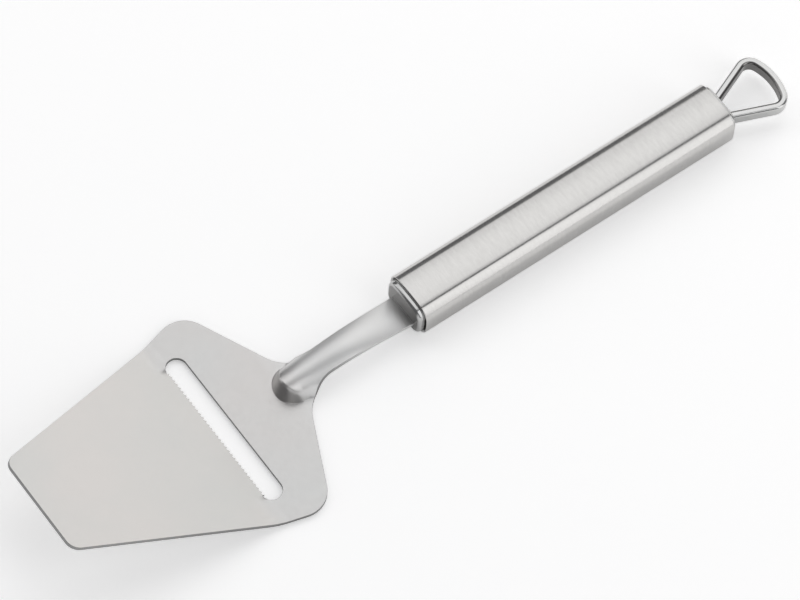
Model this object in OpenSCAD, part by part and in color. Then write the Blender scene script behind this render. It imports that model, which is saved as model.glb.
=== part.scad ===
/* [Handle tube] */
// Length of the handle tube
handle_length = 113.9; // [90:0.1:140]
// Width of the handle tube, side to side
handle_width = 18; // [16:0.5:24]
// Height of the handle tube
handle_height = 14.5; // [13:0.5:20]
// Corner radius of the tube's section
handle_corner_r = 4.6; // [3.4:0.2:5.4]
// Wall of the tube
tube_wall = 0.9; // [0.6:0.1:1.2]

/* [End caps] */
// Gap all round between a cap and the bore of the tube
cap_clearance = 0.15; // [0.05:0.05:0.3]
// How far the front cap stands out of the tube
front_standout = 1.9; // [1:0.1:3]
// How far the rear cap stands out of the tube
rear_standout = 1.5; // [1:0.1:3]
// Depth of a cap's skirt inside the tube
cap_skirt = 6; // [4:0.5:12]
// Thickness of a cap's face
cap_face = 1.2; // [0.8:0.1:1.5]
// Wall of a cap's skirt
cap_wall = 0.8; // [0.6:0.1:1.2]

/* [Blade sheet] */
// Thickness of the sheet
sheet = 1.2; // [0.8:0.1:1.6]
// How far the middle of the rear plate lies below the handle's axis
plate_drop = 6.2; // [5:0.1:6.4]
// Angle at which the front plate turns up
fold_angle = 23.2; // [10:0.2:30]
// Radius of the fold, to the middle of the sheet
fold_r = 8.6; // [4:0.2:10]

/* [Blade outline] */
// From the handle to the centre of the rounded nose
nose_reach = 41; // [34:0.5:48]
// From the sharp corner of the neck to the centre of the nose
neck_to_nose = 2.1; // [1:0.1:3]
// Width across the sharp corners of the neck
neck_width = 8.5; // [7.5:0.1:10]
// Radius of the hollow curve beside the neck
neck_r = 13; // [10:0.5:15]
// From the centre of the nose to the sharp corner of a shoulder
nose_to_shoulder = 13.9; // [12:0.1:15]
// Width across the sharp corners of the shoulders
shoulder_width = 76.6; // [70:0.2:80]
// Radius of the shoulders
shoulder_r = 8.5; // [5:0.5:9]
// From the centre of the nose to the fold line
nose_to_fold = 29; // [28:0.5:32]
// Width of the blade at the fold line
fold_width = 68.4; // [62:0.2:69]
// Length of the front plate along its slope
front_length = 65; // [45:1:80]
// Width across the sharp corners of the tip
tip_width = 33.2; // [25:0.2:45]
// Radius of the two corners at the tip
tip_r = 4; // [2:0.2:6]

/* [Slot and teeth] */
// Length of the slot across the blade
slot_length = 54; // [48:0.2:56]
// From the fold line back to the slot's straight edge
slot_setback = 7.6; // [7:0.1:9]
// Radius of the two ends of the slot
slot_end_r = 3.3; // [2.5:0.1:3.5]
// From the fold line back to the points of the teeth
edge_setback = 1.8; // [1.4:0.1:2.5]
// Length of the toothed edge
edge_length = 47.8; // [36:0.2:48]
// Number of notches between the teeth
notch_count = 33; // [20:1:36]
// Radius of one notch
notch_r = 0.5; // [0.3:0.05:0.55]

/* [Neck and shank] */
// Width of the shank where it leaves the handle
shank_width = 10.8; // [9:0.1:12]
// Length of the tang inside the handle
tang_length = 12; // [8:1:20]
// Top of the shank above the rear plate, where it leaves the handle
cap_rise = 4.35; // [4:0.05:5]
// Top of the shank above the rear plate, at its crest
crest_rise = 7; // [5:0.1:8]
// Top of the nose above the rear plate
nose_rise = 6.3; // [4:0.1:7]
// From the handle to the crest
crest_reach = 24; // [18:1:28]
// Radius of the nose at its foot
nose_r = 6.1; // [5.5:0.1:7]
// Half width of the arch of the shank where it leaves the handle
cap_arch = 13.6; // [12:0.2:40]
// Radius of the hollow between the nose and the rear plate
foot_r = 0.8; // [0.4:0.1:1]

/* [Hanging loop] */
// Thickness of the bar, seen from above
bar_thickness = 2.4; // [1.5:0.1:2.8]
// Height of the bar
bar_height = 4.3; // [3:0.1:6]
// How far the middle of the bar lies below the handle's axis
bar_drop = 1.3; // [0:0.1:2]
// From the middle line to the middle of a leg, at the face of the rear cap
leg_offset = 2.9; // [2.8:0.1:3.6]
// Angle at which each leg opens outwards
leg_angle = 21.8; // [15:0.2:25]
// Length of each leg inside the rear cap
leg_depth = 2.4; // [1.5:0.1:3]
// Radius of the two bends, to the middle of the bar
bend_r = 3.7; // [2.5:0.1:5]
// Radius of the bowed far side, to the middle of the bar
bow_r = 18.6; // [16:0.2:22]
// From the face of the rear cap to the middle of the far side
loop_reach = 20.3; // [17:0.1:26]
// Gap round the tang and the legs in their holes
hole_clearance = 0.1; // [0.05:0.05:0.2]

/* [Hidden] */
$fn = 64;

satin = "#c8c8c6";
polished = "#dcdcda";

// How far a cut runs past the faces that it goes through
overrun = sheet;

// Places along the handle's axis, with the front end of the tube at zero
rear_face_x = -handle_length - rear_standout;
bow_x = rear_face_x - loop_reach + bow_r;
neck_reach = nose_reach - neck_to_nose;
shoulder_reach = nose_reach + nose_to_shoulder;
fold_reach = nose_reach + nose_to_fold;
loop_end_x = bow_x - bow_r - bar_thickness / 2;
blade_end_x = fold_reach + front_length * cos(fold_angle) + sheet / 2 * sin(fold_angle);
middle_x = (blade_end_x + loop_end_x) / 2;

// Heights, with the handle's axis at zero
plate_top = -plate_drop + sheet / 2;
plate_bottom = -plate_drop - sheet / 2;
lowest = min(-handle_height / 2, plate_bottom);

// Moves a shape that is drawn round the handle's axis into the part's own frame
module place() {
  translate([-middle_x, 0, -lowest]) children();
}

function unit(v) = v / norm(v);
function mirror_y(points) = [for (i = [len(points) - 1:-1:0]) [points[i][0], -points[i][1]]];

// A fillet of radius r at corner b of the line a, b, c: its tangent points and its centre
function turn(a, b, c) = acos(unit(b - a) * unit(c - b));
function fillet_start(a, b, c, r) = b - unit(b - a) * r * tan(turn(a, b, c) / 2);
function fillet_end(a, b, c, r) = b + unit(c - b) * r * tan(turn(a, b, c) / 2);
function fillet_centre(a, b, c, r) =
  b + unit(unit(c - b) - unit(b - a)) * r / cos(turn(a, b, c) / 2);

// Points on an arc, in a number of steps
function arc(centre, r, from, to, steps) =
  [for (i = [0:steps]) let (a = from + (to - from) * i / steps) centre + r * [cos(a), sin(a)]];
function angle(v) = atan2(v[1], v[0]);
// Points of the fillet at corner b of the line a, b, c, which turns clockwise there
function fillet(a, b, c, r, steps) =
  arc(fillet_centre(a, b, c, r), r, 90 + angle(b - a), 90 + angle(c - b), steps);

// Ring round the origin, from an inner to an outer radius
module ring(inner_r, outer_r) {
  difference() {
    circle(outer_r);
    circle(inner_r);
  }
}

// Handle

// Section of the tube or of a cap, inset from the outside of the tube
module section(inset) {
  side = handle_width / 2 - handle_corner_r;
  top = handle_height / 2 - handle_corner_r;
  r = handle_corner_r - inset;
  square([2 * (side + r), 2 * top], center = true);
  square([2 * side, 2 * (top + r)], center = true);
  for (sy = [-1, 1], sz = [-1, 1]) translate([sy * side, sz * top]) circle(r);
}

// That section along the handle's axis, from x0 to x1
module bar(inset, x0, x1) {
  translate([x0, 0, 0]) rotate([90, 0, 90]) linear_extrude(x1 - x0) section(inset);
}

module handle_tube() {
  color(satin) place() difference() {
    bar(0, -handle_length, 0);
    bar(tube_wall, -handle_length - overrun, overrun);
  }
}

// Cup with its closed face at x = standout and its skirt towards negative x
module cup(standout) {
  outside = tube_wall + cap_clearance;
  difference() {
    bar(outside, -cap_skirt, standout);
    bar(outside + cap_wall, -cap_skirt - overrun, standout - cap_face);
  }
}

module front_cap() {
  slot_half = shank_width / 2 + hole_clearance;
  slot_top = plate_top + rise(front_standout) + hole_clearance;
  slot_bottom = lower(0, shank_width / 2) - hole_clearance;
  color(polished) place() difference() {
    cup(front_standout);
    translate([0, -slot_half, slot_bottom])
      cube([front_standout + overrun, 2 * slot_half, slot_top - slot_bottom]);
  }
}

module rear_cap() {
  color(polished) place() difference() {
    translate([-handle_length, 0, 0]) mirror([1, 0, 0]) cup(rear_standout);
    translate([0, 0, -bar_drop - bar_height / 2 - hole_clearance])
      linear_extrude(bar_height + 2 * hole_clearance) legs(hole_clearance);
  }
}

// Hanging loop, drawn in plan

leg_dir = [-cos(leg_angle), sin(leg_angle)];
leg_side = [sin(leg_angle), cos(leg_angle)];
leg_at_face = [rear_face_x, leg_offset];
bow_centre = [bow_x, 0];
bend_line = leg_at_face - leg_side * bend_r - bow_centre;
bend_half = bend_line * leg_dir;
bend_centre = leg_at_face - leg_side * bend_r + leg_dir
  * (sqrt(bend_half * bend_half - bend_line * bend_line + pow(bow_r - bend_r, 2)) - bend_half);

// Both legs near the face of the rear cap, widened by a gap on each side
module legs(gap) {
  inside = leg_depth + overrun;
  half = bar_thickness / 2 + gap;
  for (m = [0, 1]) mirror([0, m]) translate(leg_at_face) rotate(180 - leg_angle)
    translate([-inside, -half]) square([2 * inside, 2 * half]);
}

// One long side of the bar, out from the middle of the bar, from one leg's end to the other's
bend_steps = 16;
bow_steps = 24;
function bar_side(out) =
  let (bow_angle = atan2(bend_centre[1], bend_centre[0] - bow_x),
       near = concat([leg_at_face - leg_dir * leg_depth + leg_side * out],
                     arc(bend_centre, bend_r + out, 90 - leg_angle, bow_angle, bend_steps)))
  concat(near, arc(bow_centre, bow_r + out, bow_angle, 360 - bow_angle, bow_steps), mirror_y(near));

module loop_plan() {
  inside = bar_side(-bar_thickness / 2);
  polygon(concat(bar_side(bar_thickness / 2), [for (i = [len(inside) - 1:-1:0]) inside[i]]));
}

module hanging_loop() {
  color(polished) place() translate([0, 0, -bar_drop - bar_height / 2])
    linear_extrude(bar_height) loop_plan();
}

// Flat plates of the blade

shank_corner = [0, shank_width / 2];
neck_corner = [neck_reach, neck_width / 2];
shoulder_corner = [shoulder_reach, shoulder_width / 2];
fold_corner = [fold_reach, fold_width / 2];

// The curved neck and shank end here, and the flat rear plate starts
joint_x = nose_reach + nose_r + foot_r + sheet / 2;
neck_start = fillet_start(shank_corner, neck_corner, shoulder_corner, neck_r);
neck_end = fillet_end(shank_corner, neck_corner, shoulder_corner, neck_r);
neck_centre = fillet_centre(shank_corner, neck_corner, shoulder_corner, neck_r);

// Half width of the neck and shank at x
function on_line(a, b, x) = a[1] + (b[1] - a[1]) * (x - a[0]) / (b[0] - a[0]);
function half_width(x) =
  x <= 0 ? shank_corner[1] :
  x <= neck_start[0] ? on_line(shank_corner, neck_corner, x) :
  x <= neck_end[0] ? neck_centre[1] - sqrt(pow(neck_r, 2) - pow(x - neck_centre[0], 2)) :
  on_line(neck_corner, shoulder_corner, x);

// The fold starts and ends this far from the fold line, and its bent strip is thinner than the plates
// by a small step on every side, so that its two ends lie inside them
fold_tangent = fold_r * tan(fold_angle / 2);
fold_step = sheet / 24;
lip_half = edge_length / 2;
corner_steps = 16;

module rear_plan() {
  bend_x = fold_reach - fold_tangent;
  side = concat([[joint_x, half_width(joint_x)]],
                fillet(neck_corner, shoulder_corner, fold_corner, shoulder_r, corner_steps),
                [[bend_x, on_line(shoulder_corner, fold_corner, bend_x)]]);
  polygon(concat(side, mirror_y(side)));
}

module slot_plan() {
  back_x = fold_reach - slot_setback;
  end_y = slot_length / 2 - slot_end_r;
  for (m = [0, 1]) mirror([0, m]) translate([back_x + slot_end_r, end_y]) circle(slot_end_r);
  translate([back_x, -end_y]) square([2 * slot_end_r, 2 * end_y]);
}

// Front plate in its own plane, with the fold line at x = 0
module front_plan() {
  start = [0, fold_width / 2];
  tip = [front_length, tip_width / 2];
  side = concat([[fold_tangent, on_line(start, tip, fold_tangent)]],
                fillet(start, tip, [front_length, 0], tip_r, corner_steps));
  polygon(concat(side, mirror_y(side)));
  difference() {
    translate([-edge_setback, -lip_half]) square([edge_setback + 2 * fold_tangent, 2 * lip_half]);
    for (i = [0.5:1:notch_count])
      translate([-edge_setback, lip_half * (2 * i / notch_count - 1)]) circle(notch_r);
  }
}

// Front plate with its toothed edge, which is ground off flush with the underside of the rear plate
module front_plate() {
  difference() {
    translate([fold_reach, 0, -plate_drop]) rotate([0, -fold_angle, 0])
      translate([0, 0, -sheet / 2]) linear_extrude(sheet) front_plan();
    translate([fold_reach - 2 * edge_setback, -slot_length / 2, plate_bottom - sheet])
      cube([3 * edge_setback, slot_length, sheet]);
  }
}

// Bent strips beside the two ends of the slot, seen from the side and from above
module fold_side_view() {
  reach = 2 * fold_r;
  lap_angle = atan(sheet / 2 / fold_r);
  intersection() {
    ring(fold_r - sheet / 2 + fold_step, fold_r + sheet / 2 - fold_step);
    polygon([[0, 0], for (a = [-lap_angle, fold_angle + lap_angle]) reach * [sin(a), -cos(a)]]);
  }
}

module fold_plan() {
  x0 = fold_reach - 2 * fold_tangent;
  x1 = fold_reach + 2 * fold_tangent;
  outer = [for (x = [x0, x1]) [x, on_line(shoulder_corner, fold_corner, x) - fold_step]];
  inner = lip_half - fold_step;
  for (m = [0, 1]) mirror([0, m]) polygon(concat(outer, [[x1, inner], [x0, inner]]));
}

module fold_strips() {
  intersection() {
    translate([fold_reach - fold_tangent, 0, -plate_drop + fold_r]) rotate([90, 0, 0])
      linear_extrude(shoulder_width, center = true) fold_side_view();
    translate([0, 0, plate_bottom - overrun]) linear_extrude(fold_r) difference() {
      fold_plan();
      slot_plan();
    }
  }
}

// Curved neck and shank of the blade

// Height of the ridge above the rear plate at x
rise_power = 1.3;
arch_power = 1.3;
function rise(x) =
  x <= 0 ? cap_rise :
  x <= crest_reach ? crest_rise - (crest_rise - cap_rise) * pow(1 - x / crest_reach, rise_power) :
  x >= nose_reach ? nose_rise :
  nose_rise + (crest_rise - nose_rise)
    * (1 + cos(180 * (x - crest_reach) / (nose_reach - crest_reach))) / 2;

// Half width of the arch at x, wide and flat at the handle and round at the nose
function arch(x) = let (s = pow(min(max(x / nose_reach, 0), 1), arch_power))
  1 / ((1 - s) / cap_arch + s / nose_r);

// Distance that the arch is measured over: from the ridge, and round the nose from its centre
function from_ridge(x, y) = x <= nose_reach ? abs(y) : norm([x - nose_reach, y]);
function dome(x, r, d) = rise(x) * sqrt(max(0, 1 - pow(d / r, 2)));
function hollow(r, f, d) = d <= r ? f : d >= r + f ? 0 : f - sqrt(f * f - pow(r + f - d, 2));
function upper(x, y) = let (r = arch(x), d = from_ridge(x, y))
  plate_top + max(dome(x, r, d), hollow(r, foot_r, d));
function lower(x, y) = let (r = arch(x) - sheet, f = foot_r + sheet, d = from_ridge(x, y))
  plate_bottom + max(dome(x, r, d), hollow(r, f, d));

// Rows of points run from the ridge, or from the centre of the nose, to the edge of the sheet
points_per_row = 12;
foot_share = 0.92;
nose_outside = nose_r + foot_r;
shank_steps = 6;
neck_steps = 12;
flank_steps = 6;
front_steps = 12;
shank_rows = concat([-tang_length], [for (i = [0:shank_steps - 1]) neck_start[0] * i / shank_steps],
  [for (i = [0:neck_steps - 1]) neck_start[0] + (nose_reach - neck_start[0]) * i / neck_steps]);
flank_ends = [for (i = [0:flank_steps]) let (x = nose_reach + (joint_x - nose_reach) * i / flank_steps)
  [x, half_width(x)]];
front_angle = atan(half_width(joint_x) / (joint_x - nose_reach));
front_ends = [for (i = [1:front_steps])
  [joint_x, (joint_x - nose_reach) * tan(front_angle * (1 - i / front_steps))]];
nose_ends = concat(flank_ends, front_ends);
row_starts = concat([for (x = shank_rows) [x, 0]], [for (p = nose_ends) [nose_reach, 0]]);
row_ends = concat([for (x = shank_rows) [x, half_width(x)]], nose_ends);

// Point i of row k, closer together towards the foot of the nose
function along(k, i) =
  let (a = row_starts[k], b = row_ends[k], length = norm(b - a),
       inner = min(nose_outside, foot_share * length))
  i == points_per_row ? b : a + (b - a) / length * inner * sin(90 * i / (points_per_row - 1));
row_count = len(row_ends);
row_size = points_per_row + 1;
first_nose_row = len(shank_rows);
side_count = row_count * row_size;
function index(k, i) = i == 0 ? min(k, first_nose_row) * row_size : k * row_size + i;
function whole(f) = f[0] != f[1] && f[1] != f[2] && f[2] != f[0];

// One half of the curved sheet, as a closed solid
module half_neck() {
  flat = [for (k = [0:row_count - 1], i = [0:points_per_row]) along(k, i)];
  points = concat([for (p = flat) [p[0], p[1], upper(p[0], p[1])]],
                  [for (p = flat) [p[0], p[1], lower(p[0], p[1])]]);
  skin = [for (k = [0:row_count - 2], i = [0:points_per_row - 1], t = [0, 1])
    let (a = index(k, i), b = index(k, i + 1), c = index(k + 1, i + 1), d = index(k + 1, i),
         f = t == 0 ? [a, b, c] : [a, c, d])
    if (whole(f)) f];
  rim = concat([for (i = [0:points_per_row]) index(0, i)],
               [for (k = [1:row_count - 1]) index(k, points_per_row)],
               [for (i = [points_per_row - 1:-1:0]) index(row_count - 1, i)],
               [for (k = [first_nose_row - 1:-1:1]) index(k, 0)]);
  wall = [for (j = [0:len(rim) - 1], t = [0, 1])
    let (a = rim[j], b = rim[(j + 1) % len(rim)])
    t == 0 ? [a, b + side_count, b] : [a, a + side_count, b + side_count]];
  polyhedron(points, concat(skin, [for (f = skin) [f[0], f[2], f[1]] + [1, 1, 1] * side_count], wall));
}

module blade() {
  color(satin) place() {
    for (m = [0, 1]) mirror([0, m, 0]) half_neck();
    translate([0, 0, plate_bottom]) linear_extrude(sheet) difference() {
      rear_plan();
      slot_plan();
    }
    fold_strips();
    front_plate();
  }
}

blade();
front_cap();
handle_tube();
rear_cap();
hanging_loop();
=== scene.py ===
from math import atan, atan2, ceil, cos, hypot, pi, radians, sin, sqrt, tan

import bpy
from mathutils import Matrix, Vector
from mathutils.geometry import delaunay_2d_cdt


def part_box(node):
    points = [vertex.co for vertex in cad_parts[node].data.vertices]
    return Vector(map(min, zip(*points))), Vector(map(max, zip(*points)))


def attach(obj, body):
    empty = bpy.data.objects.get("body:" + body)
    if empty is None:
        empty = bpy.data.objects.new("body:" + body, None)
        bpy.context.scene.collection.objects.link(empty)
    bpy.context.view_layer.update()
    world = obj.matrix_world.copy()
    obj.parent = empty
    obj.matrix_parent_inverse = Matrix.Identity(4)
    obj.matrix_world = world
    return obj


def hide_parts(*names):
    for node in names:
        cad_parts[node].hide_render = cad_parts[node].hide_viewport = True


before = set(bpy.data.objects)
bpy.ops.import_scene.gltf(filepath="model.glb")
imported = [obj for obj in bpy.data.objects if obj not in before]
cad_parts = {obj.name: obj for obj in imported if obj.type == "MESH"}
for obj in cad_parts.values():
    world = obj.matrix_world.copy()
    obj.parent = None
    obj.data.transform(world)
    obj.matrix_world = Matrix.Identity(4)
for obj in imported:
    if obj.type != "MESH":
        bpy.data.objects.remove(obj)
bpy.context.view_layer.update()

# Millimetres, in which every size of the object is written
MM = 0.001

# The handle's axis and the front end of its tube, from the frame
tube_low, tube_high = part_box("handle_tube")
FRONT_X = tube_high[0] / MM
AXIS_Z = (tube_low[2] + tube_high[2]) / 2 / MM

# Handle tube
TUBE_LENGTH = (tube_high[0] - tube_low[0]) / MM
TUBE_WIDTH = (tube_high[1] - tube_low[1]) / MM
TUBE_HEIGHT = (tube_high[2] - tube_low[2]) / MM
TUBE_WALL = 0.9
TUBE_END_R = 0.2
# How far the slanted mouth of the bore reaches in from each end
MOUTH_DEPTH = 0.65
# Corner radius, and how far the flat sides of the tube are crowned
CORNER_R = 4.6
TOP_CROWN = radians(7)
SIDE_CROWN = radians(4)

# End caps
CAP_INSET = 1.12
CAP_WALL = 0.6
CAP_FACE = 1.2
CAP_SKIRT = 6
CAP_EDGE_R = 0.9
FRONT_STANDOUT = 1.9
REAR_STANDOUT = 1.5
# Rings that divide a cap's face, as shares of its outline
FACE_RINGS = (0.97, 0.6, 0.25)

# Blade sheet, its bend, and how far its rounded rim reaches in from the outline
SHEET = 1.2
PLATE_DROP = 6.2
PLATE_TOP = -PLATE_DROP + SHEET / 2
PLATE_BOTTOM = -PLATE_DROP - SHEET / 2
FOLD_ANGLE = radians(23.2)
FOLD_R = 16
FOLD_TANGENT = FOLD_R * tan(FOLD_ANGLE / 2)
RIM = 0.07

# Blade outline, with x from the front end of the tube
NOSE_X = 41
SHANK_HALF = 5.4
SHANK_CORNER = (0, SHANK_HALF)
NECK_CORNER = (38.9, 4.25)
NECK_R = 13
SHOULDER_CORNER = (54.9, 38.3)
SHOULDER_R = 8.5
FOLD_CORNER = (70, 34.2)
FRONT_LENGTH = 65
TIP_HALF = 16.6
TIP_R = 4

# Slot and teeth
SLOT_HALF = 27
SLOT_BACK_X = 62.4
SLOT_END_R = 3.3
EDGE_SETBACK = 1.8
EDGE_HALF = 23.9
# How far the corners of the toothed edge are drawn in from its ends
EDGE_CORNER = 0.12
NOTCH_COUNT = 33
NOTCH_R = 0.5
# A notch's arc turns this far to each side of its middle, in radians
NOTCH_TURN = 1.35
# Share of the rim by which a notch is wider in the faces of the sheet than in its edge
NOTCH_GROWTH = 0.6
# The toothed lip turns into the bent strip beside it over this width, from this place across
LIP_TURN = 2.6
LIP_START = EDGE_HALF - LIP_TURN / 4

# Neck and shank. The rises are heights of the arch over the flat sheet
TANG = 12
CAP_RISE = 4.35
CREST_RISE = 7
CREST_X = 24
NOSE_RISE = 6.3
# Half widths of the arch at the cap and at the nose, and the radius round its foot
CAP_ARCH = 13.6
NOSE_R = 6.1
FOOT_R = 0.8
# How early the arch rises and narrows on its way along the shank
RISE_POWER = 1.3
ARCH_POWER = 1.3
# Where the neck's own mesh ends and the flat plates begin
JOINT_X = NOSE_X + NOSE_R + FOOT_R + SHEET / 2
# The steep wall at the end of the nose: its radius at the foot, its width in plan,
# the rounding of its upper and lower creases, and where it starts
WALL_R = 6.2
WALL_WIDTH = 1.9
CREASE = 1.2
WALL_FOOT = 0.5
WALL_START_X = 35

# Hanging loop
BAR_THICKNESS = 2.4
BAR_HEIGHT = 4.3
BAR_EDGE_R = 0.75
BAR_DROP = 1.3
LEG_OFFSET = 2.9
LEG_ANGLE = radians(21.8)
LEG_DEPTH = 2.4
BEND_R = 3.7
BOW_R = 18.6
LOOP_REACH = 20.29

# Steps along the curves of the tube, the caps and the loop
SECTION_ARC_STEPS = 14
TUBE_EDGE_STEPS = 6
TUBE_STEPS = 12
CAP_EDGE_STEPS = 8
LEG_STEPS = 9
BEND_STEPS = 24
BOW_STEPS = 20
BAR_EDGE_STEPS = 7

# Steps along the curves of the blade
SHANK_STEPS = 16
NECK_STEPS = 32
FLANK_STEPS = 14
JOINT_STEPS = 30
DOME_STEPS = 22
FOOT_STEPS = 8
SHOULDER_STEPS = 28
FOLD_STEPS = 10
SIDE_STEPS = 12
TIP_STEPS = 16
SLOT_BACK_STEPS = 12
SLOT_END_STEPS = 24
NOTCH_STEPS = 8

# The close points of a row of the neck end before this share of its length
CLOSE_SHARE = 0.96
# Extra points in the bend beside the slot: their spacing, and how far they stay from the outline
SIDE_GRID = 0.5
SIDE_CLEARANCE = 0.4
# Extra points where the toothed lip turns: their spacing, how far they stay from the slot, and how
# far they reach inwards past the end of the teeth and forwards past the bend
LIP_GRID = 0.3
LIP_CLEARANCE = 0.15
LIP_MARGIN = 1
# Vertices that agree to this many decimals of a millimetre are one
WELD_DECIMALS = 4

# Camera, fitted to the photograph: turns, place in millimetres and focal length in pixels
CAMERA_YAW = radians(221.356)
CAMERA_PITCH = radians(-27.907)
CAMERA_ROLL = radians(-5.897)
CAMERA_DISTANCE = 1452
CAMERA_SIDE = -2.401
CAMERA_RISE = 1.362
IMAGE_WIDTH = 800
FOCAL_PIXELS = 4980.7
SENSOR = 36

# Stage, in metres
CLIP_START = 0.05
WORLD_COLOUR = (0.18, 0.18, 0.185)
FLOOR_HALF = 3
FLOOR_COLOUR = (0.96, 0.96, 0.96)
FLOOR_ROUGHNESS = 0.9
FLOOR_GLOW = 0.39
# A glow casts no shadow of its own, so what steel mirrors of it fades within this reach of the object
CONTACT_REACH = 0.02
CONTACT_POWER = 2
CONTACT_SAMPLES = 8

# Noise with the same grain in every direction, and the range that most noise keeps to
EVEN = (1, 1, 1)
NOISE_RANGE = (0.3, 0.7)


def place(point):
    """A point drawn round the handle's axis, in millimetres, to Blender's metres."""
    return Vector(((FRONT_X + point[0]) * MM, point[1] * MM, (AXIS_Z + point[2]) * MM))


# Plane geometry


def even_steps(first, last, steps):
    """Values from first to last, both of them included."""
    return [first + (last - first) * i / steps for i in range(steps + 1)]


def unit(v):
    length = hypot(v[0], v[1])
    return (v[0] / length, v[1] / length)


def smooth_step(t):
    t = min(max(t, 0), 1)
    return t * t * (3 - 2 * t)


def along_line(a, b, x):
    """Height at x of the line through a and b."""
    return a[1] + (b[1] - a[1]) * (x - a[0]) / (b[0] - a[0])


def arc(centre, r, start, end, steps):
    return [(centre[0] + r * cos(t), centre[1] + r * sin(t)) for t in even_steps(start, end, steps)]


def fillet_parts(a, b, c, r):
    """The fillet of radius r at corner b: its centre, the directions of both sides and its cut."""
    u = unit((b[0] - a[0], b[1] - a[1]))
    v = unit((c[0] - b[0], c[1] - b[1]))
    half_turn = atan2(abs(u[0] * v[1] - u[1] * v[0]), u[0] * v[0] + u[1] * v[1]) / 2
    bisector = unit((v[0] - u[0], v[1] - u[1]))
    reach = r / cos(half_turn)
    centre = (b[0] + bisector[0] * reach, b[1] + bisector[1] * reach)
    return centre, atan2(u[1], u[0]), atan2(v[1], v[0]), r * tan(half_turn)


def outer_fillet(a, b, c, r, inset, steps):
    """Points of the fillet at a corner that turns clockwise, drawn in by the inset."""
    centre, first, last, _ = fillet_parts(a, b, c, r)
    return arc(centre, r - inset, first + pi / 2, last + pi / 2, steps)


def inside(point, loop):
    """Whether a point lies inside a closed loop of points."""
    x, y = point
    result = False
    for (ax, ay), (bx, by) in zip(loop, loop[1:] + loop[:1]):
        if (ay > y) != (by > y) and x < ax + (bx - ax) * (y - ay) / (by - ay):
            result = not result
    return result


# Mesh building


class Skin:
    """Vertices in millimetres round the handle's axis, with their faces."""

    def __init__(self):
        self.points = []
        self.faces = []
        self.rim_faces = set()

    def add(self, point):
        self.points.append(Vector(point))
        return len(self.points) - 1

    def face(self, *corners, flip=False, rim=False):
        if rim:
            self.rim_faces.add(len(self.faces))
        self.faces.append(corners[::-1] if flip else corners)

    def strip(self, first, second, flip=False, closed=False, rim=False):
        """Four-sided faces between two rows of vertices of the same length."""
        if flip:
            first, second = second, first
        count = len(first)
        for i in range(count if closed else count - 1):
            j = (i + 1) % count
            self.face(first[i], first[j], second[j], second[i], rim=rim)

    def grid(self, rows, **options):
        """Strips from each row of vertices to the next."""
        for first, second in zip(rows, rows[1:]):
            self.strip(first, second, **options)


def normals_of(skin):
    """Smooth normals: flat faces aren't bent by the narrow faces of the rim beside them."""
    broad = [Vector() for _ in skin.points]
    narrow = [Vector() for _ in skin.points]
    for number, corners in enumerate(skin.faces):
        total = Vector()
        origin = skin.points[corners[0]]
        for i in range(1, len(corners) - 1):
            total += (skin.points[corners[i]] - origin).cross(skin.points[corners[i + 1]] - origin)
        for corner in corners:
            (narrow if number in skin.rim_faces else broad)[corner] += total
    return [(b if b.length > 0 else n).normalized() for b, n in zip(broad, narrow)]


def weld(skin):
    """Joins vertices at the same place and drops faces that lose a side."""
    where = {}
    new_index = []
    joined = Skin()
    for point in skin.points:
        key = tuple(round(v, WELD_DECIMALS) for v in point)
        if key not in where:
            where[key] = joined.add(point)
        new_index.append(where[key])
    for number, corners in enumerate(skin.faces):
        ring = list(dict.fromkeys(new_index[c] for c in corners))
        if len(ring) > 2:
            joined.face(*ring, rim=number in skin.rim_faces)
    return joined


def add_object(name, data):
    made = bpy.data.objects.new(name, data)
    bpy.context.scene.collection.objects.link(made)
    return made


def add_piece(name, skin, node, material, rim_painted_shade_material):
    """A piece that stands for a node of the frame. Its rim faces have a material of their own, which
    paints shade on them.
    """
    skin = weld(skin)
    mesh = bpy.data.meshes.new(name)
    mesh.from_pydata([place(p) for p in skin.points], [], skin.faces)
    mesh.shade_smooth()
    mesh.normals_split_custom_set_from_vertices(normals_of(skin))
    mesh.materials.append(material)
    mesh.materials.append(rim_painted_shade_material)
    for number in skin.rim_faces:
        mesh.polygons[number].material_index = 1
    piece = add_object(name, mesh)
    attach(piece, "root")
    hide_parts(node)


# Handle tube and caps


def quarter_arcs():
    """Radius and turns (from, to, in radians from upright) of the arcs of a quarter of the tube."""
    side_turn = pi / 2 - SIDE_CROWN
    across = TUBE_WIDTH / 2 - CORNER_R * (sin(side_turn) - sin(TOP_CROWN))
    upward = TUBE_HEIGHT / 2 - CORNER_R * (cos(TOP_CROWN) - cos(side_turn))
    # The two long radii solve two equations, for the half width and the half height
    a, b = sin(TOP_CROWN), 1 - sin(side_turn)
    c, d = 1 - cos(TOP_CROWN), cos(side_turn)
    top_r = (across * d - upward * b) / (a * d - b * c)
    side_r = (upward * a - across * c) / (a * d - b * c)
    return [(top_r, 0, TOP_CROWN), (CORNER_R, TOP_CROWN, side_turn), (side_r, side_turn, pi / 2)]


def quarter_section():
    """Points and normals of the quarter of the tube's outside from the top to the +Y side."""
    y, z = 0, TUBE_HEIGHT / 2
    result = [((y, z), (0, 1))]
    for r, first, last in quarter_arcs():
        turns = even_steps(first, last, SECTION_ARC_STEPS)
        for before, t in zip(turns, turns[1:]):
            y += r * (sin(t) - sin(before))
            z += r * (cos(t) - cos(before))
            result.append(((y, z), (sin(t), cos(t))))
    return result


def section(inset):
    """Crowned rounded rectangle of the tube, inset all round, as (y, z) points."""
    quarter_points = [(y - inset * ny, z - inset * nz) for (y, z), (ny, nz) in quarter_section()]
    half = quarter_points[::-1] + [(-y, z) for y, z in quarter_points[1:]]
    return half + [(y, -z) for y, z in half[-2:0:-1]]


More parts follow.
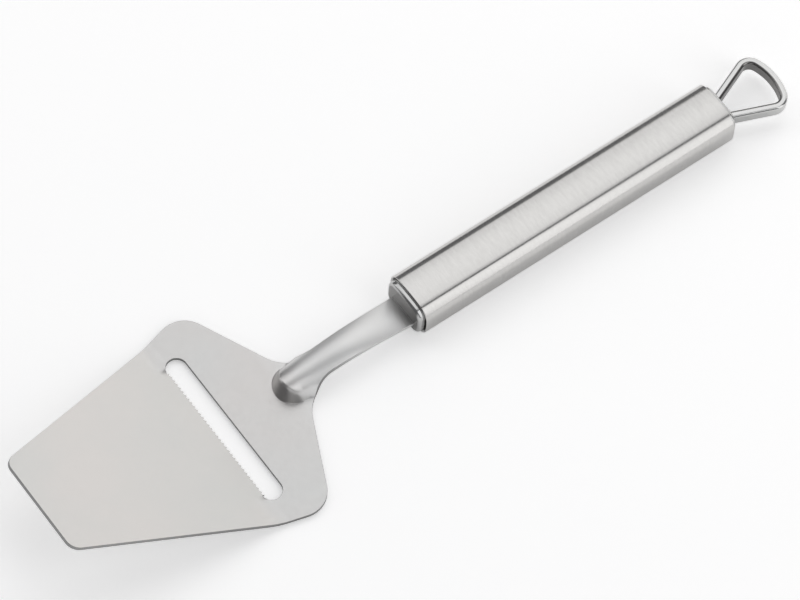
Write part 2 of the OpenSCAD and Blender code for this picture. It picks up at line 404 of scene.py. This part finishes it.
def loft(skin, profile, flip=False, rim=False):
    """Rings of the section at (x, inset) places, joined one to the next."""
    rings = [[skin.add((x, y, z)) for y, z in section(inset)] for x, inset in profile]
    skin.grid(rings, flip=flip, closed=True, rim=rim)
    return rings


def rounded_edge(x, inset, r, turn, steps):
    """Profile of an edge of radius r that faces turn (1 forwards, -1 backwards)."""
    return [(x - turn * r * (1 - sin(t)), inset + r * (1 - cos(t)))
            for t in even_steps(0, pi / 2, steps)]


def disc(skin, ring, flip):
    """Closes a ring with smaller rings towards the handle's axis, as rim faces."""
    corners = [skin.points[i] for i in ring]
    before = ring
    for share in FACE_RINGS:
        after = [skin.add((x, y * share, z * share)) for x, y, z in corners]
        skin.strip(before, after, flip=flip, closed=True, rim=True)
        before = after
    centre = skin.add((corners[0][0], 0, 0))
    for i, corner in enumerate(before):
        skin.face(corner, before[(i + 1) % len(before)], centre, flip=flip, rim=True)


def handle_tube(material, painted_edge_shade_material):
    skin = Skin()
    rear = -TUBE_LENGTH
    front_edge = rounded_edge(0, 0, TUBE_END_R, 1, TUBE_EDGE_STEPS)
    rear_edge = rounded_edge(rear, 0, TUBE_END_R, -1, TUBE_EDGE_STEPS)
    middle = [(x, 0) for x in even_steps(rear + TUBE_END_R, -TUBE_END_R, TUBE_STEPS)[1:-1]]
    outside = loft(skin, rear_edge[::-1] + middle + front_edge)
    # The bore and the ends of the tube are rim faces, with painted shade
    bore = loft(skin, [(-MOUTH_DEPTH, TUBE_WALL), (rear + MOUTH_DEPTH, TUBE_WALL)], rim=True)
    skin.strip(outside[-1], bore[0], closed=True, rim=True)
    skin.strip(bore[-1], outside[0], closed=True, rim=True)
    add_piece("handle_tube_shell", skin, "handle_tube", material, painted_edge_shade_material)


def cap(name, node, material, painted_shade_face_material, end_x, standout, turn):
    """Cup with a rounded edge, whose outer and inner faces are painted darker as shade. turn is 1 for the
    front cap and -1 for the rear one.
    """
    skin = Skin()
    flip = turn < 0
    face = end_x + turn * standout
    back = end_x - turn * CAP_SKIRT
    hollow_inset = CAP_INSET + CAP_WALL
    edge = rounded_edge(face, CAP_INSET, CAP_EDGE_R, turn, CAP_EDGE_STEPS)
    outside = loft(skin, [(back, CAP_INSET)] + edge, flip)
    hollow = loft(skin, [(face - turn * CAP_FACE, hollow_inset), (back, hollow_inset)], flip)
    skin.strip(hollow[-1], outside[0], flip=flip, closed=True)
    disc(skin, outside[-1], flip)
    disc(skin, hollow[0], not flip)
    add_piece(name, skin, node, material, painted_shade_face_material)


# Hanging loop


def directed_arc(centre, r, start, end, steps):
    """Points of an arc that turns to the left, with its direction at each point."""
    turns = even_steps(start, end, steps)
    return [(point, turn + pi / 2) for point, turn in zip(arc(centre, r, start, end, steps), turns)]


def loop_path():
    """Middle line of the bar in plan, with its direction at each point."""
    face_x = -TUBE_LENGTH - REAR_STANDOUT
    bow_centre = (face_x - LOOP_REACH + BOW_R, 0)
    leg_dir = (-cos(LEG_ANGLE), sin(LEG_ANGLE))
    leg_side = (sin(LEG_ANGLE), cos(LEG_ANGLE))
    # The centre of the bend lies beside the leg, at the length where its arc touches the bow
    base = (face_x - leg_side[0] * BEND_R, LEG_OFFSET - leg_side[1] * BEND_R)
    line = (base[0] - bow_centre[0], base[1])
    half = line[0] * leg_dir[0] + line[1] * leg_dir[1]
    length = sqrt(half ** 2 - line[0] ** 2 - line[1] ** 2 + (BOW_R - BEND_R) ** 2) - half
    bend = (base[0] + leg_dir[0] * length, base[1] + leg_dir[1] * length)
    bow_angle = atan2(bend[1], bend[0] - bow_centre[0])
    points = [((face_x + leg_dir[0] * run, LEG_OFFSET + leg_dir[1] * run), pi - LEG_ANGLE)
              for run in even_steps(-LEG_DEPTH, length, LEG_STEPS)[:-1]]
    points += directed_arc(bend, BEND_R, pi / 2 - LEG_ANGLE, bow_angle, BEND_STEPS)
    points += directed_arc(bow_centre, BOW_R, bow_angle, pi, BOW_STEPS)[1:]
    # The other half mirrors this one and runs back to the cap
    return points + [((x, -y), 3 * pi - direction) for (x, y), direction in points[-2::-1]]


def bar_section():
    """Rounded rectangle of the bar, as (sideways, up) points. Sideways is out of the loop."""
    side = BAR_THICKNESS / 2 - BAR_EDGE_R
    top = BAR_HEIGHT / 2 - BAR_EDGE_R
    points = []
    for number, (sx, sz) in enumerate(((1, 1), (-1, 1), (-1, -1), (1, -1))):
        start = number * pi / 2
        points += arc((sx * side, sz * top), BAR_EDGE_R, start, start + pi / 2, BAR_EDGE_STEPS)
    return points


def hanging_loop(material, painted_shade_inner_material):
    """The bent bar. The half of its skin that faces into the loop is the rim, which takes the painted
    shade.
    """
    skin = Skin()
    rings = []
    for (x, y), direction in loop_path():
        out = (sin(direction), -cos(direction))
        rings.append([skin.add((x + out[0] * side, y + out[1] * side, up - BAR_DROP))
                      for side, up in bar_section()])
    corner = BAR_EDGE_STEPS + 1
    skin.grid([ring[corner:3 * corner] for ring in rings], flip=True, rim=True)
    skin.grid([ring[3 * corner - 1:] + ring[:corner + 1] for ring in rings], flip=True)
    skin.face(*rings[0])
    skin.face(*rings[-1], flip=True)
    add_piece("hanging_loop_bar", skin, "hanging_loop", material, painted_shade_inner_material)


# Blade: the neck and shank

NECK_FILLET = fillet_parts(SHANK_CORNER, NECK_CORNER, SHOULDER_CORNER, NECK_R)
neck_centre, neck_in, neck_out, neck_cut = NECK_FILLET
NECK_START_X = NECK_CORNER[0] - neck_cut * cos(neck_in)
NECK_END_X = NECK_CORNER[0] + neck_cut * cos(neck_out)


def half_width(x):
    """Half of the blade's width at x, up to the shoulder."""
    if x <= 0:
        return SHANK_HALF
    if x <= NECK_START_X:
        return along_line(SHANK_CORNER, NECK_CORNER, x)
    if x <= NECK_END_X:
        return neck_centre[1] - sqrt(NECK_R ** 2 - (x - neck_centre[0]) ** 2)
    return along_line(NECK_CORNER, SHOULDER_CORNER, x)


def rise(x):
    """Height of the arch's middle line over the flat sheet."""
    if x <= 0:
        return CAP_RISE
    if x <= CREST_X:
        return CREST_RISE - (CREST_RISE - CAP_RISE) * (1 - x / CREST_X) ** RISE_POWER
    if x >= NOSE_X:
        return NOSE_RISE
    return NOSE_RISE + (CREST_RISE - NOSE_RISE) * (1 + cos(pi * (x - CREST_X) / (NOSE_X - CREST_X))) / 2


def arch(x):
    """Half width of the arch, of which the shank shows only the middle."""
    share = min(max(x / NOSE_X, 0), 1) ** ARCH_POWER
    return 1 / ((1 - share) / CAP_ARCH + share / NOSE_R)


def lower_of(a, b, blend):
    """The smaller of two heights, with the crease between them rounded over the blend."""
    if abs(a - b) >= blend:
        return min(a, b)
    return min(a, b) - (blend - abs(a - b)) ** 2 / (4 * blend)


def raised(x, y, inset):
    """Height above the flat sheet of its upper side, or of its lower side with inset = SHEET."""
    r = arch(x) - inset
    foot = FOOT_R + inset
    d = abs(y)
    dome = rise(x) * sqrt(max(0, 1 - (d / r) ** 2))
    if d >= r + foot:
        dome = 0
    elif d > r:
        dome = foot - sqrt(foot ** 2 - (r + foot - d) ** 2)
    else:
        dome = max(dome, foot)
    if x <= WALL_START_X:
        return dome
    reach = d if x <= NOSE_X else hypot(x - NOSE_X, d)
    wall = (WALL_R - inset - reach) / WALL_WIDTH * NOSE_RISE
    wall = -lower_of(-wall, 0, WALL_FOOT)
    share = smooth_step((x - WALL_START_X) / (NOSE_X - WALL_START_X))
    # The crease narrows where the lower of the two heights runs out
    crease = min(CREASE, max(0, 2 * min(dome, wall)))
    return dome + (lower_of(dome, wall, crease) - dome) * share


def joint_line():
    """Places across the sheet where the neck meets the flat rear plate, outermost first."""
    reach = JOINT_X - NOSE_X
    widest = atan(half_width(JOINT_X) / reach)
    return [reach * tan(widest * (1 - i / JOINT_STEPS)) for i in range(JOINT_STEPS + 1)]


def row_ends():
    """Start and end in plan of each row of the neck, and whether its end is on the outline."""
    xs = [-TANG, -TANG / 2]
    xs += even_steps(0, NECK_START_X, SHANK_STEPS)[:-1]
    xs += even_steps(NECK_START_X, NOSE_X, NECK_STEPS)[:-1]
    rows = [((x, 0), (x, half_width(x)), True) for x in xs]
    rows += [((NOSE_X, 0), (x, half_width(x)), True) for x in even_steps(NOSE_X, JOINT_X, FLANK_STEPS)]
    rows += [((NOSE_X, 0), (JOINT_X, y), False) for y in joint_line()[1:]]
    return rows


def rim_inset(x):
    """How far the rim's rounding reaches in along y."""
    step = 0.01
    slope = (half_width(x + step) - half_width(x - step)) / (2 * step)
    return RIM * sqrt(1 + slope ** 2)


def row_shares(start, end):
    """Places along a row, as shares of it, closest together at the foot of the arch."""
    length = hypot(end[0] - start[0], end[1] - start[1])
    outside = NOSE_R + FOOT_R
    inner = min(outside, CLOSE_SHARE * length)
    wall = inner * NOSE_R / outside
    places = [wall * sin(t) for t in even_steps(0, pi / 2, DOME_STEPS)]
    places += [wall + (inner - wall) * (1 - cos(t)) for t in even_steps(0, pi / 2, FOOT_STEPS)[1:]]
    return [p / length for p in places] + [1]


def neck_half(skin, side):
    """Neck, shank and tang on one side of the middle. side is 1 for +Y and -1 for -Y."""
    tops, bottoms, upper_rim, lower_rim = [], [], [], []
    for start, (x, y), on_outline in row_ends():
        inner_y = y - rim_inset(x) if on_outline else y
        top, bottom = [], []
        for share in row_shares(start, (x, inner_y)):
            px = start[0] + (x - start[0]) * share
            py = start[1] + (inner_y - start[1]) * share
            top.append(skin.add((px, side * py, PLATE_TOP + raised(px, py, 0))))
            bottom.append(skin.add((px, side * py, PLATE_BOTTOM + raised(px, py, SHEET))))
        tops.append(top)
        bottoms.append(bottom)
        if on_outline:
            upper_rim.append(skin.add((x, side * y, skin.points[top[-1]][2] - RIM)))
            lower_rim.append(skin.add((x, side * y, skin.points[bottom[-1]][2] + RIM)))
    flip = side < 0
    skin.grid(tops, flip=not flip)
    skin.grid(bottoms, flip=flip)
    count = len(upper_rim)
    edge = [[row[-1] for row in tops[:count]], upper_rim, lower_rim, [row[-1] for row in bottoms[:count]]]
    skin.grid(edge, flip=flip, rim=True)
    # The end of the tang, and the end of its rim
    skin.strip(tops[0], bottoms[0], flip=flip, rim=True)
    skin.face(*[row[0] for row in edge], flip=flip, rim=True)


# Blade: the flat and folded plates


def middle_and_normal(q, y):
    """Middle of the sheet and its upward direction. q runs along the sheet, and is x up to the fold."""
    along = q - FOLD_CORNER[0]
    if along >= FOLD_TANGENT:
        turn = FOLD_ANGLE
        x, z = FOLD_CORNER[0] + along * cos(turn), along * sin(turn)
    elif along <= -FOLD_TANGENT:
        turn = 0
        x, z = q, 0
    else:
        turn = (along + FOLD_TANGENT) / (2 * FOLD_TANGENT) * FOLD_ANGLE
        x = FOLD_CORNER[0] - FOLD_TANGENT + FOLD_R * sin(turn)
        z = FOLD_R * (1 - cos(turn))
    lip = 0
    if -EDGE_SETBACK - RIM <= along < FOLD_TANGENT:
        lip = 1 - smooth_step((abs(y) - LIP_START) / LIP_TURN)
    if lip > 0:
        x += lip * (FOLD_CORNER[0] + along * cos(FOLD_ANGLE) - x)
        z += lip * (along * sin(FOLD_ANGLE) - z)
        turn += lip * (FOLD_ANGLE - turn)
    return (x, z - PLATE_DROP), (-sin(turn), cos(turn))


def on_sheet(q, y, height):
    """A point at a height over the middle of the sheet. The toothed edge is ground flush below."""
    (x, z), normal = middle_and_normal(q, y)
    if height < 0 and q < FOLD_CORNER[0] + FOLD_TANGENT:
        height = max(height, (PLATE_BOTTOM - z) / normal[1])
    return (x + normal[0] * height, y, z + normal[1] * height)


def fold_lines():
    """Places along the sheet of the lines that divide its bend."""
    start = FOLD_CORNER[0] - FOLD_TANGENT
    return even_steps(start, start + 2 * FOLD_TANGENT, FOLD_STEPS)


def side_outline(inset):
    """Outline of the plates on the +Y side, from the joint with the neck to the middle of the tip.

    The inset is taken straight across on the rear plate and square to the side on the front plate.
    """
    points = outer_fillet(NECK_CORNER, SHOULDER_CORNER, FOLD_CORNER, SHOULDER_R, inset, SHOULDER_STEPS)
    points += [(q, along_line(SHOULDER_CORNER, FOLD_CORNER, q) - inset) for q in fold_lines()[:-1]]
    tip = (FOLD_CORNER[0] + FRONT_LENGTH, TIP_HALF)
    side = unit((tip[0] - FOLD_CORNER[0], tip[1] - FOLD_CORNER[1]))
    for q in even_steps(FOLD_CORNER[0] + FOLD_TANGENT, tip[0] - 2 * TIP_R, SIDE_STEPS)[:-1]:
        points.append((q, along_line(FOLD_CORNER, tip, q) - inset / side[0]))
    return points + outer_fillet(FOLD_CORNER, tip, (tip[0], 0), TIP_R, inset, TIP_STEPS)


def outline(inset):
    """Outline of the plates without the joint, from the joint's +Y end round to its -Y end."""
    side = side_outline(inset)
    return side + [(q, -y) for q, y in side[::-1]]


def slot_outline(inset):
    """The slot and its teeth, grown by the inset, from one end of its straight edge round to it."""
    end_y = SLOT_HALF - SLOT_END_R
    end_x = SLOT_BACK_X + SLOT_END_R
    edge_q = FOLD_CORNER[0] - EDGE_SETBACK
    back = [(SLOT_BACK_X - inset, y) for y in even_steps(-end_y, end_y, SLOT_BACK_STEPS)[:-1]]
    far = arc((end_x, end_y), SLOT_END_R + inset, pi, 0, SLOT_END_STEPS)
    near = [(q, -y) for q, y in far[::-1]]
    notch = arc((0, 0), NOTCH_R + inset * NOTCH_GROWTH, NOTCH_TURN, -NOTCH_TURN, NOTCH_STEPS)
    pitch = 2 * EDGE_HALF / NOTCH_COUNT
    teeth = [(edge_q + inset, EDGE_HALF - EDGE_CORNER)]
    for number in range(NOTCH_COUNT):
        middle = EDGE_HALF - pitch * (number + 0.5)
        teeth += [(edge_q + max(depth, inset), middle + across) for depth, across in notch]
    teeth.append((edge_q + inset, -EDGE_HALF + EDGE_CORNER))
    return back + far + teeth + near[:-1]


def inner_points():
    """Points inside the plates where the sheet bends or turns."""
    points = []
    for q in fold_lines():
        y = SLOT_HALF + SIDE_GRID
        while y < along_line(SHOULDER_CORNER, FOLD_CORNER, q) - SIDE_CLEARANCE:
            points += [(q, y), (q, -y)]
            y += SIDE_GRID
    slot = slot_outline(RIM + LIP_CLEARANCE)
    rows = ceil((EDGE_SETBACK + FOLD_TANGENT + LIP_MARGIN) / LIP_GRID)
    columns = ceil((LIP_MARGIN + SLOT_HALF - EDGE_HALF) / LIP_GRID) + 1
    for i in range(rows):
        for k in range(columns):
            q = FOLD_CORNER[0] - EDGE_SETBACK + LIP_GRID + i * LIP_GRID
            y = EDGE_HALF - LIP_MARGIN + k * LIP_GRID
            if not inside((q, y), slot):
                points += [(q, y), (q, -y)]
    return points


def flat_triangles(border, slot):
    """Flat points of the plates, and the triangles between the border and the slot."""
    edges = []
    for first, count in ((0, len(border)), (len(border), len(slot))):
        edges += [(first + i, first + (i + 1) % count) for i in range(count)]
    # The kind of result that keeps the triangles inside the edges, and when two points are one
    inside_only = 1
    same_place = 1e-7
    points = [Vector(p) for p in border + slot + inner_points()]
    flat, _, faces = delaunay_2d_cdt(points, edges, [], inside_only, same_place)[:3]
    triangles = []
    for a, b, c in faces:
        middle = [(flat[a][k] + flat[b][k] + flat[c][k]) / 3 for k in (0, 1)]
        if inside(middle, border) and not inside(middle, slot):
            left_turn = (flat[b] - flat[a]).cross(flat[c] - flat[a]) > 0
            triangles.append((a, b, c) if left_turn else (c, b, a))
    return flat, triangles


def sheet_rim(skin, outer, inner, closed):
    """The rounded edge of the sheet between the upper and the lower side."""
    rows = ((inner, SHEET / 2), (outer, SHEET / 2 - RIM), (outer, -SHEET / 2 + RIM), (inner, -SHEET / 2))
    skin.grid([[skin.add(on_sheet(*p, height)) for p in row] for row, height in rows],
              flip=True, closed=closed, rim=True)


def plates(skin):
    joint_y = half_width(JOINT_X)
    rim_y = joint_y - rim_inset(JOINT_X)
    # The ends of the joint follow the neck's own rim
    joint_ys = joint_line()[1:-1]
    joint_ys = [-rim_y] + [-y for y in joint_ys] + [0] + joint_ys[::-1] + [rim_y]
    border = [(JOINT_X, y) for y in joint_ys] + outline(RIM)
    slot = slot_outline(RIM)
    flat, triangles = flat_triangles(border, slot)
    for height in (SHEET / 2, -SHEET / 2):
        numbers = [skin.add(on_sheet(*p, height)) for p in flat]
        for corners in triangles:
            skin.face(*[numbers[c] for c in corners], flip=height < 0)
    sheet_rim(skin, [(JOINT_X, -joint_y)] + outline(0)[::-1] + [(JOINT_X, joint_y)],
              [(JOINT_X, -rim_y)] + outline(RIM)[::-1] + [(JOINT_X, rim_y)], closed=False)
    sheet_rim(skin, slot_outline(0), slot, closed=True)


def blade(material, painted_edge_shade_material):
    skin = Skin()
    neck_half(skin, 1)
    neck_half(skin, -1)
    plates(skin)
    add_piece("blade_sheet", skin, "blade", material, painted_edge_shade_material)


# Shader nodes


def new_material(name):
    material = bpy.data.materials.new(name)
    material.use_nodes = True
    tree = material.node_tree
    return material, tree, tree.nodes["Principled BSDF"]


def feed(tree, node, inputs):
    """Fills a node's inputs. Each is a plain value, or the socket that it comes from."""
    for key, value in inputs.items():
        if isinstance(value, bpy.types.NodeSocket):
            tree.links.new(value, node.inputs[key])
        else:
            node.inputs[key].default_value = value


def add_node(tree, kind, inputs=None, **settings):
    node = tree.nodes.new(kind)
    for key, value in settings.items():
        setattr(node, key, value)
    feed(tree, node, inputs or {})
    return node


def calculated(tree, operation, first, second):
    """The result of a sum or a like operation on two values or sockets."""
    return add_node(tree, "ShaderNodeMath", {0: first, 1: second}, operation=operation).outputs[0]


def object_place(tree):
    return add_node(tree, "ShaderNodeTexCoord").outputs["Object"]


def noise(tree, fineness, scale, detail, roughness):
    """Noise in the object's own space, finer along the axes with a larger fineness."""
    mapping = add_node(tree, "ShaderNodeMapping", {"Vector": object_place(tree), "Scale": fineness})
    inputs = {"Vector": mapping.outputs[0], "Scale": scale, "Detail": detail, "Roughness": roughness}
    return add_node(tree, "ShaderNodeTexNoise", inputs).outputs["Fac"]


def ranged(tree, value, low, high, source=NOISE_RANGE):
    """Maps the source's range of a value to the range from low to high."""
    inputs = {"Value": value, "From Min": source[0], "From Max": source[1], "To Min": low, "To Max": high}
    return add_node(tree, "ShaderNodeMapRange", inputs).outputs[0]


def mixed(tree, share, first, second):
    """The first colour where the share is 0, and the second where it is 1."""
    inputs = {"Factor": share, "A": first, "B": second}
    return add_node(tree, "ShaderNodeMix", inputs, data_type="RGBA").outputs["Result"]


def opaque(colour):
    return (*colour, 1)


def relief(tree, height, strength, distance):
    """A surface direction from fine relief. The distance is in metres."""
    return add_node(tree, "ShaderNodeBump", {"Height": height, "Strength": strength,
                                             "Distance": distance}).outputs[0]


# Steels


def satin_steel(name, fineness, colours, roughness, bump, grain_detail=4, grain_share=0, drawn_and_painted_light=None):
    """Finely brushed steel, with grain along one direction and soft clouds from handling.

    The grain takes its share of the change of colour, and the clouds take the rest. The finish of a drawn
    stretch covers all of it behind whole_x and none of it ahead of end_x: its extra roughness is a duller
    finish, and its paler colour is painted light. Every steel keeps its roughness wholly under 0.27 or
    wholly over 0.28, because one that crosses from one to the other renders with fine contour lines.
    """
    material, tree, shader = new_material(name)
    grain = noise(tree, fineness, scale=1, detail=grain_detail, roughness=0.7)
    clouds = noise(tree, EVEN, scale=28, detail=3, roughness=0.5)
    speckle = noise(tree, EVEN, scale=2600, detail=2, roughness=0.6)
    shade = calculated(tree, "ADD", ranged(tree, clouds, low=0, high=1 - grain_share),
                       ranged(tree, grain, low=0, high=grain_share))
    colour = mixed(tree, shade, opaque(colours[0]), opaque(colours[1]))
    rough = calculated(tree, "ADD", ranged(tree, grain, *roughness),
                       ranged(tree, clouds, low=-0.02, high=0.03))
    # The drawn stretch is duller, and its paler colour there is painted light
    if drawn_and_painted_light:
        along = add_node(tree, "ShaderNodeSeparateXYZ", {"Vector": object_place(tree)}).outputs["X"]
        ends = [place((x, 0, 0))[0] for x in (drawn_and_painted_light["whole_x"], drawn_and_painted_light["end_x"])]
        share = ranged(tree, along, low=1, high=0, source=ends)
        rough = calculated(tree, "ADD", rough, calculated(tree, "MULTIPLY", share, drawn_and_painted_light["duller"]))
        colour = mixed(tree, share, colour, opaque(drawn_and_painted_light["colour"]))
    height = calculated(tree, "ADD", grain, ranged(tree, speckle, low=0, high=0.4))
    feed(tree, shader, {"Base Color": colour, "Metallic": 1, "Roughness": rough,
                        "Normal": relief(tree, height, strength=bump, distance=0.00001)})
    return material


def polished_steel(name, colours, roughness):
    """Polished steel with faint smears and hairline scratches."""
    material, tree, shader = new_material(name)
    smears = noise(tree, EVEN, scale=120, detail=4, roughness=0.6)
    hairlines = noise(tree, fineness=(400, 3200, 3200), scale=1, detail=3, roughness=0.7)
    share = ranged(tree, smears, low=0, high=1)
    colour = mixed(tree, share, opaque(colours[0]), opaque(colours[1]))
    rough = calculated(tree, "ADD", ranged(tree, smears, *roughness),
                       ranged(tree, hairlines, low=0, high=0.04))
    feed(tree, shader, {"Base Color": colour, "Metallic": 1, "Roughness": rough,
                        "Normal": relief(tree, hairlines, strength=0.08, distance=0.00002)})
    return material


def blade_steel():
    """Satin sheet, duller along the drawn shank, and painted paler there as a painted sheen."""
    return satin_steel("blade_satin_steel", fineness=(900, 900, 900),
                       colours=((0.555, 0.56, 0.555), (0.615, 0.60, 0.59)),
                       roughness=(0.30, 0.36), bump=0.15,
                       # Painted sheen: the shank's paler colour; its extra roughness is a duller finish
                       drawn_and_painted_light={"whole_x": 36.5, "end_x": 45.5, "colour": (0.77, 0.77, 0.765),
                              "duller": 0.11})


def painted_edge_shade_steel():
    """Edge of the sheet, painted darker as shade, and painted pale along the drawn shank as painted
    light. The bore of the tube has it too.
    """
    return satin_steel("edge_painted_shade_and_light_steel", fineness=(300, 300, 3000),
                       # Painted shade: these dark colours stand in for the dark surroundings that the
                       # edge mirrors
                       colours=((0.26, 0.26, 0.26), (0.33, 0.33, 0.325)),
                       roughness=(0.40, 0.52), bump=0.3,
                       # Painted light: the pale colour along the shank
                       drawn_and_painted_light={"whole_x": 16.5, "end_x": 34.5, "colour": (0.75, 0.75, 0.745),
                              "duller": 0})


def tube_steel():
    """Satin steel that is brushed round the tube."""
    material = satin_steel("tube_brushed_steel", fineness=(1300, 240, 240),
                           colours=((0.535, 0.527, 0.515), (0.61, 0.602, 0.59)),
                           roughness=(0.195, 0.23), bump=0.4, grain_detail=2, grain_share=0.6)
    tree = material.node_tree
    round_tube = add_node(tree, "ShaderNodeTangent", direction_type="RADIAL", axis="X").outputs[0]
    feed(tree, tree.nodes["Principled BSDF"],
         {"Anisotropic": 0.6, "Anisotropic Rotation": 0.25, "Tangent": round_tube})
    return material


def cap_steel():
    return polished_steel("cap_polished_steel", colours=((0.47, 0.47, 0.47), (0.51, 0.51, 0.50)),
                          roughness=(0.10, 0.16))


def painted_shade_steel():
    """Painted shade: darker steel on the caps' faces and the loop's inner side, for the dark surroundings
    that they mirror.
    """
    return polished_steel("painted_shade_dull_steel", colours=((0.22, 0.216, 0.212), (0.285, 0.28, 0.275)),
                          roughness=(0.14, 0.22))


def loop_steel():
    return polished_steel("loop_polished_steel", colours=((0.57, 0.57, 0.57), (0.61, 0.61, 0.60)),
                          roughness=(0.14, 0.2))


# Stage: floor, lamps, world and camera


def floor_paper():
    """Matt white paper. Its glow shows only to the camera and in what steel mirrors."""
    material, tree, shader = new_material("floor_paper")
    feed(tree, shader, {"Base Color": opaque(FLOOR_COLOUR), "Roughness": FLOOR_ROUGHNESS,
                        "Specular IOR Level": 0})
    rays = add_node(tree, "ShaderNodeLightPath").outputs
    contact = add_node(tree, "ShaderNodeAmbientOcclusion", {"Distance": CONTACT_REACH},
                       samples=CONTACT_SAMPLES)
    fade = calculated(tree, "POWER", contact.outputs["AO"], CONTACT_POWER)
    mirrored = calculated(tree, "MAXIMUM", rays["Is Glossy Ray"], rays["Is Transmission Ray"])
    mirrored = calculated(tree, "MULTIPLY", mirrored, fade)
    seen = calculated(tree, "MAXIMUM", rays["Is Camera Ray"], mirrored)
    glow = add_node(tree, "ShaderNodeEmission",
                    {"Strength": calculated(tree, "MULTIPLY", seen, FLOOR_GLOW)})
    both = add_node(tree, "ShaderNodeAddShader", {0: shader.outputs[0], 1: glow.outputs[0]})
    feed(tree, tree.nodes["Material Output"], {"Surface": both.outputs[0]})
    return material


def floor():
    mesh = bpy.data.meshes.new("floor")
    corners = [(x * FLOOR_HALF, y * FLOOR_HALF, 0) for x, y in ((-1, -1), (1, -1), (1, 1), (-1, 1))]
    mesh.from_pydata(corners, [], [(0, 1, 2, 3)])
    mesh.materials.append(floor_paper())
    made = add_object("floor", mesh)


def softbox(name, azimuth, elevation, distance, size, radiance, colour=(1, 1, 1)):
    """An area lamp aimed at the object. Its radiance is the brightness that polished steel mirrors."""
    lamp = bpy.data.lights.new(name, "AREA")
    lamp.shape = "RECTANGLE"
    lamp.size, lamp.size_y = size
    lamp.energy = radiance * pi * size[0] * size[1]
    lamp.color = colour
    azimuth, elevation = radians(azimuth), radians(elevation)
    direction = Vector((cos(elevation) * cos(azimuth), cos(elevation) * sin(azimuth), sin(elevation)))
    made = add_object(name, lamp)
    made.location = direction * distance
    made.rotation_euler = direction.to_track_quat("Z", "Y").to_euler()


def studio():
    """Seven softboxes in a dim grey world. Azimuths run from +X towards +Y, in degrees."""
    world = bpy.data.worlds.new("studio")
    world.use_nodes = True
    world.node_tree.nodes["Background"].inputs["Color"].default_value = opaque(WORLD_COLOUR)
    bpy.context.scene.world = world
    softbox("top_softbox", azimuth=229, elevation=62, distance=1.6, size=(1.35, 1.25), radiance=0.86)
    softbox("top_core", azimuth=224, elevation=64, distance=1.5, size=(0.6, 0.55), radiance=0.27)
    softbox("tip_softbox", azimuth=197, elevation=23, distance=1.8, size=(2.2, 1.3), radiance=1,
            colour=(1, 0.985, 0.96))
    softbox("side_softbox", azimuth=118, elevation=33, distance=1.6, size=(0.8, 2.05), radiance=1.33)
    softbox("back_softbox", azimuth=292, elevation=44, distance=1.6, size=(0.9, 0.8), radiance=1)
    softbox("front_fill", azimuth=50, elevation=15, distance=1.8, size=(1.3, 0.85), radiance=0.75)
    softbox("left_fill", azimuth=315, elevation=13, distance=1.8, size=(1.3, 0.75), radiance=0.75)


def camera():
    lens = bpy.data.cameras.new("camera")
    lens.sensor_width = SENSOR
    lens.lens = FOCAL_PIXELS * SENSOR / IMAGE_WIDTH
    lens.clip_start = CLIP_START
    turn = (Matrix.Rotation(CAMERA_ROLL, 3, "Z") @ Matrix.Rotation(CAMERA_PITCH, 3, "X")
            @ Matrix.Rotation(CAMERA_YAW, 3, "Z"))
    eye = turn.transposed() @ Vector((CAMERA_SIDE, CAMERA_RISE, CAMERA_DISTANCE))
    made = add_object("camera", lens)
    made.matrix_world = Matrix.Translation(place(eye)) @ turn.transposed().to_4x4()
    bpy.context.scene.camera = made


# The object

# Painted shade: the dark steel of the sheet's edge and of the tube's bore and ends, painted pale along
# the shank as painted light
painted_edge_shade = painted_edge_shade_steel()
bright_steel = cap_steel()
# Painted shade: the darker steel of the caps' faces and the loop's inner side
painted_shade_dull = painted_shade_steel()

blade(blade_steel(), painted_edge_shade)
handle_tube(tube_steel(), painted_edge_shade)
cap("front_cap_cup", "front_cap", bright_steel, painted_shade_dull,
    end_x=0, standout=FRONT_STANDOUT, turn=1)
cap("rear_cap_cup", "rear_cap", bright_steel, painted_shade_dull,
    end_x=-TUBE_LENGTH, standout=REAR_STANDOUT, turn=-1)
hanging_loop(loop_steel(), painted_shade_dull)

floor()
studio()
camera()
bpy.context.scene.view_settings.view_transform = "Standard"
